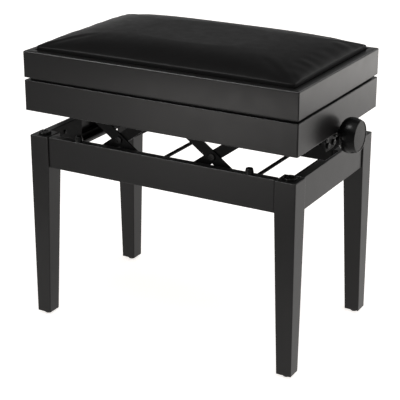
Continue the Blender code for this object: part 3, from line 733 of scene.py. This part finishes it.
@dataclass
class Cushion:
    """Foam seat under a leatherette cover, set into the lid's border."""

    slack: float = 0.0007
    crown_slack: float = 0.0022
    side: float = 0.0072
    power: float = 4.0
    fullness: float = 0.6
    corner: float = 0.004
    lip: float = 0.0016
    cloth: Cloth = Cloth()
    most_move: float = 0.005
    most_rise: float = 0.0005
    gap: float = 0.0004
    pull_in: float = 0.0008
    pleat_depth: float = 0.0006
    side_pleats: float = 0.45
    end_share: float = 0.16
    side_share: float = 0.20
    columns: int = 92
    rows: int = 56
    low: Vector = field(default_factory=Vector)
    high: Vector = field(default_factory=Vector)
    rim: float = 0.0

    def full(self, share: float) -> float:
        """Return how high the crown stands at a share of the way to the edge."""
        return max(0.0, 1 - abs(share) ** self.power) ** self.fullness

    def sheet(self, shape: Shape, low: float, crown: float) -> list[bmesh.types.BMVert]:
        """Add the upper or the lower face of the cover.

        Args:
            shape: Shape that takes the face.
            low: Height of its edge.
            crown: Rise of its middle above the edge.

        Returns:
            The vertices of its edge, in order.
        """
        half_x, half_y = self.high.x - self.slack, self.high.y - self.slack
        rows = []
        for row in range(self.rows + 1):
            v = 2 * row / self.rows - 1
            line = []
            for column in range(self.columns + 1):
                u = 2 * column / self.columns - 1
                x, y = self.eased(u * half_x, v * half_y, half_x, half_y)
                line.append((x, y, low + crown * self.full(u) * self.full(v)))
            rows.append(shape.ring(line))
        for near, far in zip(rows, rows[1:]):
            for column in range(self.columns):
                shape.mesh.faces.new((near[column], near[column + 1], far[column + 1], far[column]))
        right = [row[-1] for row in rows[1:-1]]
        left = [row[0] for row in rows[-2:0:-1]]
        return rows[0] + right + rows[-1][::-1] + left

    def blank(self) -> Piece:
        """Return the closed starting shape, a little slimmer than the finished cushion."""
        shape = Shape()
        side_top = self.rim + self.side
        upper = self.sheet(shape, side_top, self.high.z - self.crown_slack - side_top)
        lower = self.sheet(shape, self.low.z + self.gap, 0.0)
        loops = [upper]
        for height in (side_top - self.lip, self.rim - MILLIMETRE, (self.rim + self.low.z) / 2):
            loops.append(shape.ring([(corner.co.x, corner.co.y, height) for corner in upper]))
        shape.bands(loops + [lower])
        return shape.piece("cushion_cover", NEVER_SHARP)

    def eased(self, x: float, y: float, half_x: float, half_y: float) -> tuple[float, float]:
        """Return a plan position with the rectangle's corners rounded off.

        Args:
            x: Position along the bench.
            y: Position to the back.
            half_x: Half the rectangle's length.
            half_y: Half its depth.

        Returns:
            The eased position.
        """
        over_x = abs(x) - (half_x - self.corner)
        over_y = abs(y) - (half_y - self.corner)
        if over_x <= 0 or over_y <= 0:
            return x, y
        stretch = max(over_x, over_y) / math.hypot(over_x, over_y)
        return (
            math.copysign(half_x - self.corner + over_x * stretch, x),
            math.copysign(half_y - self.corner + over_y * stretch, y),
        )

    def inflate(self, item: Piece) -> None:
        """Blow the cover up as cloth over its foam, and cap how far it moves.

        Args:
            item: The closed blank.
        """
        before = [vertex.co.copy() for vertex in item.data.vertices]
        held = item.vertex_groups.new(name="held")
        limit = self.rim + self.side + self.lip / 4
        held.add([index for index, spot in enumerate(before) if spot.z < limit], 1.0, "REPLACE")
        scene = bpy.context.scene
        scene.frame_start, scene.frame_end = 1, self.cloth.frames
        self.cloth.add(item, held.name)
        for step in range(1, self.cloth.frames + 1):
            scene.frame_set(step)
        settle(item)
        scene.frame_set(1)
        for vertex, start in zip(item.data.vertices, before):
            move = vertex.co - start
            if move.length > self.most_move:
                vertex.co = start + move * (self.most_move / move.length)

    def shape_edge(self, item: Piece) -> None:
        """Draw the sides in between the corners and press the pleats of the cover.

        Args:
            item: The cushion after its subdivision.
        """
        edge_x, edge_y = self.high.x - self.gap, self.high.y - self.gap
        for vertex in item.data.vertices:
            spot = vertex.co
            share_x = min(1.0, abs(spot.x) / edge_x)
            share_y = min(1.0, abs(spot.y) / edge_y)
            limit_x = edge_x - self.pull_in * (1 - share_y**2)
            limit_y = edge_y - self.pull_in * (1 - share_x**4)
            spot.x = max(-limit_x, min(limit_x, spot.x))
            spot.y = max(-limit_y, min(limit_y, spot.y))
            if spot.z > self.rim:
                spot.z += self.pleat(spot.x / edge_x, spot.y / edge_y)
            spot.z = max(self.low.z, min(self.high.z + self.most_rise, spot.z))

    @staticmethod
    def strip(share: float, width: float) -> float:
        """Return how strong the pleats are at a share of the way to an edge."""
        near = max(0.0, (abs(share) - (1 - width)) / width)
        return near * (1 - near) * 4

    def pleat(self, u: float, v: float) -> float:
        """Return how far the cover rises or sinks in its pleats near the four edges.

        Args:
            u: Share of the way from the middle to an end.
            v: Share of the way from the middle to the front or back.

        Returns:
            The rise in metres.
        """
        wave = math.sin(v * 21.0 + 1.3 * math.sin(v * 5.0 + 2.0 * u)) * math.sin(v * 6.5 + 0.7)
        ripple = math.sin(u * 27.0 + math.sin(u * 8.0)) * math.sin(u * 9.0 + 1.1)
        ends = wave * self.strip(u, self.end_share)
        sides = self.side_pleats * ripple * self.strip(v, self.side_share)
        return self.pleat_depth * (ends + sides)

    def build(self) -> None:
        """Build the cushion on the lid."""
        self.low, self.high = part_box("cushion")
        self.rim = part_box("lid_border")[1].z
        item = self.blank()
        self.inflate(item)
        subdivision = item.modifiers.new("smooth", "SUBSURF")
        subdivision.levels = subdivision.render_levels = 1
        settle(item)
        self.shape_edge(item)
        item.data.shade_smooth()
        place(item, "lid", "cushion_cover", COVER, ["cushion"])


@dataclass
class Knob:
    """A mushroom-shaped knob with a rimmed, slightly sunk face."""

    end: str
    sign: int
    neck: float = 0.0115
    neck_length: float = 0.003
    shoulder: float = 0.52
    rim: float = 0.0010
    sunk: float = 0.0008
    face_share: float = 0.88
    dome_steps: int = 16
    taper_steps: int = 10
    rim_steps: int = 4
    sides: int = 96
    rim_width: float = 2.4
    rim_slope: float = 0.6
    dish: tuple[tuple[float, float], ...] = ((0.8, 0.5), (0.7, 0.1))

    def stations(self, length: float, radius: float) -> list[Station]:
        """Return the knob's outline.

        Args:
            length: From the neck to the face.
            radius: At its widest.

        Returns:
            Stations from the neck to the middle of the face.
        """
        face = radius * self.face_share
        widest = length * self.shoulder
        stations = [Station(0, self.neck), Station(self.neck_length, self.neck)]
        for step in range(1, self.dome_steps + 1):
            angle = math.pi / 2 * step / self.dome_steps
            along = self.neck_length + (widest - self.neck_length) * (1 - math.cos(angle))
            stations.append(Station(along, self.neck + (radius - self.neck) * math.sin(angle)))
        for step in range(1, self.taper_steps + 1):
            share = step / self.taper_steps
            along = widest + (length - self.rim - widest) * share
            stations.append(Station(along, radius - (radius - face) * share**2))
        for step in range(1, self.rim_steps + 1):
            angle = math.pi / 2 * step / self.rim_steps
            along = length - self.rim * (1 - math.sin(angle))
            stations.append(Station(along, face - self.rim * (1 - math.cos(angle))))
        inner = face - self.rim * self.rim_width
        stations.append(Station(length, inner))
        stations.append(Station(length - self.sunk, inner - self.rim * self.rim_slope))
        for depth, share in self.dish:
            stations.append(Station(length - self.sunk * depth, inner * share))
        return stations

    def build(self) -> None:
        """Build the knob on the spindle."""
        node = f"knob_{self.end}"
        low, high, middle = middle_of(node)
        start = Vector((low.x if self.sign > 0 else high.x, middle.y, middle.z))
        shape = Shape()
        stations = self.stations(high.x - low.x, (high.z - low.z) / 2)
        shape.turned(stations, start, Vector((self.sign, 0, 0)), self.sides)
        place(shape.piece(f"{node}_turned", 30), "spindle", "knob_plastic", KNOB, [node])


@dataclass
class Spindle:
    """Round spindle with a two-start thread where the nut travels."""

    thread_low: float = 0.090
    thread_high: float = 0.205
    lead: float = 0.006
    starts: int = 2
    depth: float = 0.0009
    steps_per_lead: int = 12
    sides: int = 24

    def build(self) -> None:
        """Build the spindle on its body."""
        low, high, middle = middle_of("spindle")
        radius = (high.z - low.z) / 2
        span = self.thread_high - self.thread_low
        count = round(span / self.lead * self.steps_per_lead)
        places = [low.x, self.thread_low - self.lead / 2]
        places += [self.thread_low + span * step / count for step in range(count + 1)]
        places += [self.thread_high + self.lead / 2, high.x]
        shape = Shape()
        rings = []
        for along in places:
            cut = self.thread_low <= along <= self.thread_high
            ring = []
            for step in range(self.sides):
                angle = 2 * math.pi * step / self.sides
                phase = self.starts * (angle + 2 * math.pi * along / self.lead)
                reach = radius - (self.depth * (0.5 - 0.5 * math.cos(phase)) if cut else 0.0)
                y, z = reach * math.cos(angle), reach * math.sin(angle)
                ring.append((along, middle.y + y, middle.z + z))
            rings.append(shape.ring(ring))
        shape.skin(rings)
        place(shape.piece("spindle_threaded"), "spindle", "bare_steel", STEEL, ["spindle"])


@dataclass
class Rubbers:
    """Pads on the legs, tapered stops on the long rails and glides under the feet."""

    edge: float = 0.0014
    glide_edge: float = 0.0013
    pad_hole: tuple[float, float, float] = (0.55, 0.45, 0.7)
    stop_hole: tuple[float, float, float] = (0.46, 0.44, 0.45)
    nail_hole: tuple[float, float, float] = (0.3, 0.26, 0.75)
    stop_foot: float = 0.12
    stop_tip: float = 0.85
    stop_steps: int = 5
    sides: int = 40
    glide_sides: int = 32
    screw: ScrewHead = ScrewHead(0.0034, 0.0012, Drive.CROSS)

    @staticmethod
    def hole(radius: float, height: float, shares: tuple[float, float, float]) -> list[Station]:
        """Return the outline of a blind hole in a far face.

        Args:
            radius: Radius of the piece.
            height: Its height.
            shares: The hole's mouth and floor as shares of the radius, and its floor's height.

        Returns:
            The two stations of the hole.
        """
        mouth, floor, depth = shares
        return [Station(height, radius * mouth), Station(height * depth, radius * floor)]

    def pad(self, node: str) -> None:
        """Build one pad on a leg top."""
        low, high, middle = middle_of(node)
        radius, height = (high.x - low.x) / 2, high.z - low.z
        stations = rounded(radius, height, self.edge) + self.hole(radius, height, self.pad_hole)
        shape = Shape()
        shape.turned(stations, Vector((middle.x, middle.y, low.z)), UP, self.sides)
        place(shape.piece(f"{node}_moulded"), "base", "black_rubber", RUBBER, [node])

    def stop(self, node: str) -> None:
        """Build one tapered stop, hollow round the screw that holds it."""
        low, high, middle = middle_of(node)
        radius, height = (high.x - low.x) / 2, high.z - low.z
        tip = radius * self.stop_tip
        stations = [Station(0, radius), Station(height * self.stop_foot, radius)]
        for step in range(self.stop_steps + 1):
            angle = math.pi / 2 * step / self.stop_steps
            along = height - self.edge * (1 - math.sin(angle))
            stations.append(Station(along, tip - self.edge * (1 - math.cos(angle))))
        stations += self.hole(radius, height, self.stop_hole)
        seat = Vector((middle.x, middle.y, low.z))
        shape = Shape()
        shape.turned(stations, seat, UP, self.sides)
        place(shape.piece(f"{node}_moulded"), "base", "black_rubber", RUBBER, [node])
        heads = Shape()
        self.screw.add(heads, seat + UP * height * self.stop_hole[-1], UP)
        place(heads.piece(f"{node}_screw"), "base", "bare_steel", SCREWS)

    def glide(self, node: str) -> None:
        """Build one foot glide with a rounded edge and a sunk nail."""
        low, high, middle = middle_of(node)
        radius, height = (high.x - low.x) / 2, high.z - low.z
        stations = rounded(radius, height, self.glide_edge)
        stations += self.hole(radius, height, self.nail_hole)
        shape = Shape()
        shape.turned(stations, Vector((middle.x, middle.y, high.z)), DOWN, self.glide_sides)
        place(shape.piece(f"{node}_moulded"), "base", "glide_plastic", GLIDE, [node])

    def build(self) -> None:
        """Build every pad, stop and glide."""
        for face, _ in FACES:
            for end, _ in ENDS:
                self.pad(f"pad_{face}_{end}")
                self.stop(f"stop_{face}_{end}")
                self.glide(f"glide_{face}_{end}")


@dataclass
class LiftHardware:
    """Bolt heads and retaining rings of one scissor lift."""

    end: str
    bolt: ScrewHead = ScrewHead(0.0062, 0.0012, Drive.HEX, 0.5, 0.9)
    bolt_sunk: float = 0.0001
    ring_radius: float = 0.0058
    ring_thickness: float = 0.0007
    ring_edge: float = 0.0002
    ring_seat: float = 0.1427
    ring_sides: int = 28

    def bolts(self) -> None:
        """Build the socket heads on the centre bolts, which turn with the falling arms."""
        shape = Shape()
        for face, sign in FACES:
            low, high, middle = middle_of(f"arm_falling_{self.end}_{face}")
            outer = high.y if sign > 0 else low.y
            seat = Vector((middle.x, outer - sign * self.bolt_sunk, middle.z))
            self.bolt.add(shape, seat, Vector((0, sign, 0)))
        heads = shape.piece(f"bolt_heads_{self.end}")
        place(heads, f"{self.end}_falling_arms", "black_steel", SCREWS)

    def rings(self, arms: str, axles: Sequence[str]) -> None:
        """Build the retaining rings on two axles that move with one pair of arms.

        Args:
            arms: "rising" or "falling".
            axles: Nodes of the axles.
        """
        shape = Shape()
        for node in axles:
            middle = middle_of(node)[-1]
            for _, sign in FACES:
                seat = Vector((middle.x, sign * self.ring_seat, middle.z))
                stations = rounded(self.ring_radius, self.ring_thickness, self.ring_edge, 2)
                shape.turned(stations, seat, Vector((0, sign, 0)), self.ring_sides)
        name = f"axle_rings_{arms}_{self.end}"
        place(shape.piece(name), f"{self.end}_{arms}_arms", "black_steel", SCREWS)

    def build(self) -> None:
        """Build the lift's hardware."""
        self.bolts()
        self.rings("rising", (f"axle_low_fixed_{self.end}", f"axle_high_sliding_{self.end}"))
        self.rings("falling", (f"axle_low_sliding_{self.end}", f"axle_high_fixed_{self.end}"))


@dataclass
class Screws:
    """Screws that fasten the channels, angles, guides and brackets."""

    small: ScrewHead = ScrewHead(0.0036, 0.0011, Drive.CROSS)
    large: ScrewHead = ScrewHead(0.0042, 0.0018, Drive.CROSS)
    bracket: ScrewHead = ScrewHead(0.0050, 0.0009, Drive.CROSS, 0.5, 0.9)
    track_places: tuple[float, ...] = (-0.215, 0.0, 0.215)
    guide_places: tuple[float, ...] = (-0.235, -0.12, 0.0, 0.12, 0.235)
    angle_places: tuple[float, ...] = (-0.085, 0.085)
    bracket_places: tuple[tuple[float, float], ...] = ((0.012, 0.0225), (0.0205, 0.0095))
    track_web: float = 0.0021
    track_drop: float = 0.010
    angle_web: float = 0.0031
    angle_drop: float = 0.014
    guide_line: float = 0.1435
    floor_sunk: float = 0.0001
    bracket_sunk: float = 0.0003

    def tracks(self) -> None:
        """Build the screws that hold the base channels to the long rails."""
        shape = Shape()
        for face, sign in FACES:
            low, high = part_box(f"track_{face}")
            outer = high.y if sign > 0 else low.y
            for x in self.track_places:
                seat = Vector((x, outer - sign * self.track_web, high.z - self.track_drop))
                self.small.add(shape, seat, Vector((0, -sign, 0)))
        place(shape.piece("track_screws"), "base", "black_steel", SCREWS)

    def guides(self) -> None:
        """Build the screws through the compartment floor into the guides."""
        shape = Shape()
        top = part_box("compartment_floor")[1].z
        for _, sign in FACES:
            for x in self.guide_places:
                seat = Vector((x, sign * self.guide_line, top - self.floor_sunk))
                self.large.add(shape, seat, UP)
        place(shape.piece("guide_screws"), "seat", "bare_steel", SCREWS)

    def angles(self) -> None:
        """Build the screws that hold the steel angles to the side rails."""
        shape = Shape()
        for end, sign in ENDS:
            low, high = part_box(f"cross_angle_{end}")
            outer = high.x if sign > 0 else low.x
            for y in self.angle_places:
                seat = Vector((outer - sign * self.angle_web, y, high.z - self.angle_drop))
                self.large.add(shape, seat, Vector((-sign, 0, 0)))
        place(shape.piece("angle_screws"), "base", "black_steel", SCREWS)

    def brackets(self) -> None:
        """Build the cross-slotted faces of the bracket screws."""
        height = middle_of("spindle")[-1].z
        shape = Shape()
        for end, sign in ENDS:
            low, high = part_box(f"bracket_{end}")
            outer = high.x if sign > 0 else low.x
            inside = outer - sign * self.bracket_sunk
            for sideways, below in self.bracket_places:
                for _, side in FACES:
                    seat = Vector((inside, side * sideways, height - below))
                    self.bracket.add(shape, seat, Vector((sign, 0, 0)))
        place(shape.piece("bracket_screws"), "seat", "black_steel", SCREWS)

    def build(self) -> None:
        """Build every group of screws."""
        self.tracks()
        self.guides()
        self.angles()
        self.brackets()


# ---------------------------------------------------------------- the studio


@dataclass(frozen=True)
class SoftLight:
    """A large soft lamp that shows in glossy surfaces only."""

    name: str
    power: float
    stand: tuple[float, float, float]
    size: tuple[float, float]
    target: tuple[float, float, float] = (0.0, 0.0, 0.5)

    def build(self) -> None:
        """Build the lamp, turned to the seat."""
        lamp = bpy.data.lights.new(self.name, "AREA")
        lamp.shape = "RECTANGLE"
        lamp.size, lamp.size_y = self.size
        lamp.energy = self.power
        item = bpy.data.objects.new(self.name, lamp)
        bpy.context.collection.objects.link(item)
        item.location = self.stand
        away = Vector(self.stand) - Vector(self.target)
        item.rotation_euler = away.to_track_quat("Z", "Y").to_euler()
        item.visible_camera = False
        item.visible_diffuse = False


LAMPS = (
    SoftLight("back_right", 8.0, (0.85, 2.1, 1.7), (1.0, 0.8)),
    SoftLight("front_left", 75.0, (-1.2, -1.75, 1.9), (1.1, 0.8)),
    SoftLight("above", 20.0, (0.15, -0.75, 2.3), (0.55, 0.55)),
)


@dataclass
class Studio:
    """Pale floor, sky, overhead light, lamps and the camera."""

    floor_half: float = 30.0
    camera_place: tuple[float, float, float] = (1.0965, -1.933, 1.0848)
    camera_azimuth: float = 29.645
    camera_pitch: float = 19.144
    lens: float = 112.35
    sensor: float = 36.0
    shift: float = -0.10
    sun_power: float = 1.1
    sun_angle: float = 70.0
    sun_turn: tuple[float, float, float] = (12.0, 24.0, 0.0)
    sky: tuple[tuple[float, float], ...] = (
        (0.0, 1.0),
        (0.03, 0.85),
        (0.10, 0.42),
        (0.40, 0.30),
        (0.6, 0.13),
        (1.0, 0.30),
    )

    def floor(self) -> None:
        """Build the floor, which is not part of the bench."""
        half = self.floor_half
        shape = Shape()
        plan = ((-half, -half), (half, -half), (half, half), (-half, half))
        shape.mesh.faces.new(shape.ring([(x, y, 0) for x, y in plan]))
        item = shape.piece("studio_floor")
        item.data.materials.append(GROUND.material())
        item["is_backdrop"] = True

    def sky_light(self) -> None:
        """Build the sky: white at the horizon and dim above, so gloss keeps its depth."""
        world = bpy.data.worlds.new("studio")
        world.use_nodes = True
        bpy.context.scene.world = world
        nodes, links = world.node_tree.nodes, world.node_tree.links
        direction = nodes.new("ShaderNodeTexCoord")
        parts = nodes.new("ShaderNodeSeparateXYZ")
        ramp = nodes.new("ShaderNodeValToRGB")
        elements = ramp.color_ramp.elements
        while len(elements) < len(self.sky):
            elements.new(1.0)
        for element, (height, level) in zip(elements, self.sky):
            element.position = height
            element.color = (level, level, level, 1.0)
        background = nodes["Background"]
        links.new(direction.outputs["Generated"], parts.inputs["Vector"])
        links.new(parts.outputs["Z"], ramp.inputs["Fac"])
        links.new(ramp.outputs["Color"], background.inputs["Color"])

    def sun(self) -> None:
        """Build the wide overhead light that makes the floor evenly white."""
        lamp = bpy.data.lights.new("overhead", "SUN")
        lamp.energy = self.sun_power
        lamp.angle = math.radians(self.sun_angle)
        item = bpy.data.objects.new("overhead", lamp)
        item.rotation_euler = Euler([math.radians(turn) for turn in self.sun_turn])
        bpy.context.collection.objects.link(item)

    def camera(self) -> None:
        """Build the camera."""
        data = bpy.data.cameras.new("camera")
        data.lens = self.lens
        data.sensor_width = self.sensor
        data.shift_y = self.shift
        item = bpy.data.objects.new("camera", data)
        item.location = self.camera_place
        pitch = math.radians(90 - self.camera_pitch)
        item.rotation_euler = Euler((pitch, 0, math.radians(self.camera_azimuth)))
        bpy.context.collection.objects.link(item)
        bpy.context.scene.camera = item

    def build(self) -> None:
        """Build the studio."""
        self.camera()
        self.floor()
        self.sky_light()
        self.sun()
        for lamp in LAMPS:
            lamp.build()
        bpy.context.scene.view_settings.view_transform = "Standard"


def write_sizes() -> None:
    """Write the frame's box and the finished model's box."""
    boxes: dict[str, Corners] = {"cad": CAD_BOX, "visual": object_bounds()}
    for name, (low, high) in boxes.items():
        LOG.info("%s box: %s to %s", name, tuple(low), tuple(high))


def main() -> None:
    """Build the studio, then the bench from its base to its lid."""
    logging.basicConfig(level=logging.INFO, format="%(name)s: %(message)s")
    Studio().build()
    Woodwork().build()
    Rubbers().build()
    for end, _ in ENDS:
        LiftHardware(end).build()
    Screws().build()
    Spindle().build()
    for end, sign in ENDS:
        Knob(end, sign).build()
    LidBorder().build()
    Cushion().build()
    write_sizes()


if __name__ == "__main__":
    main()
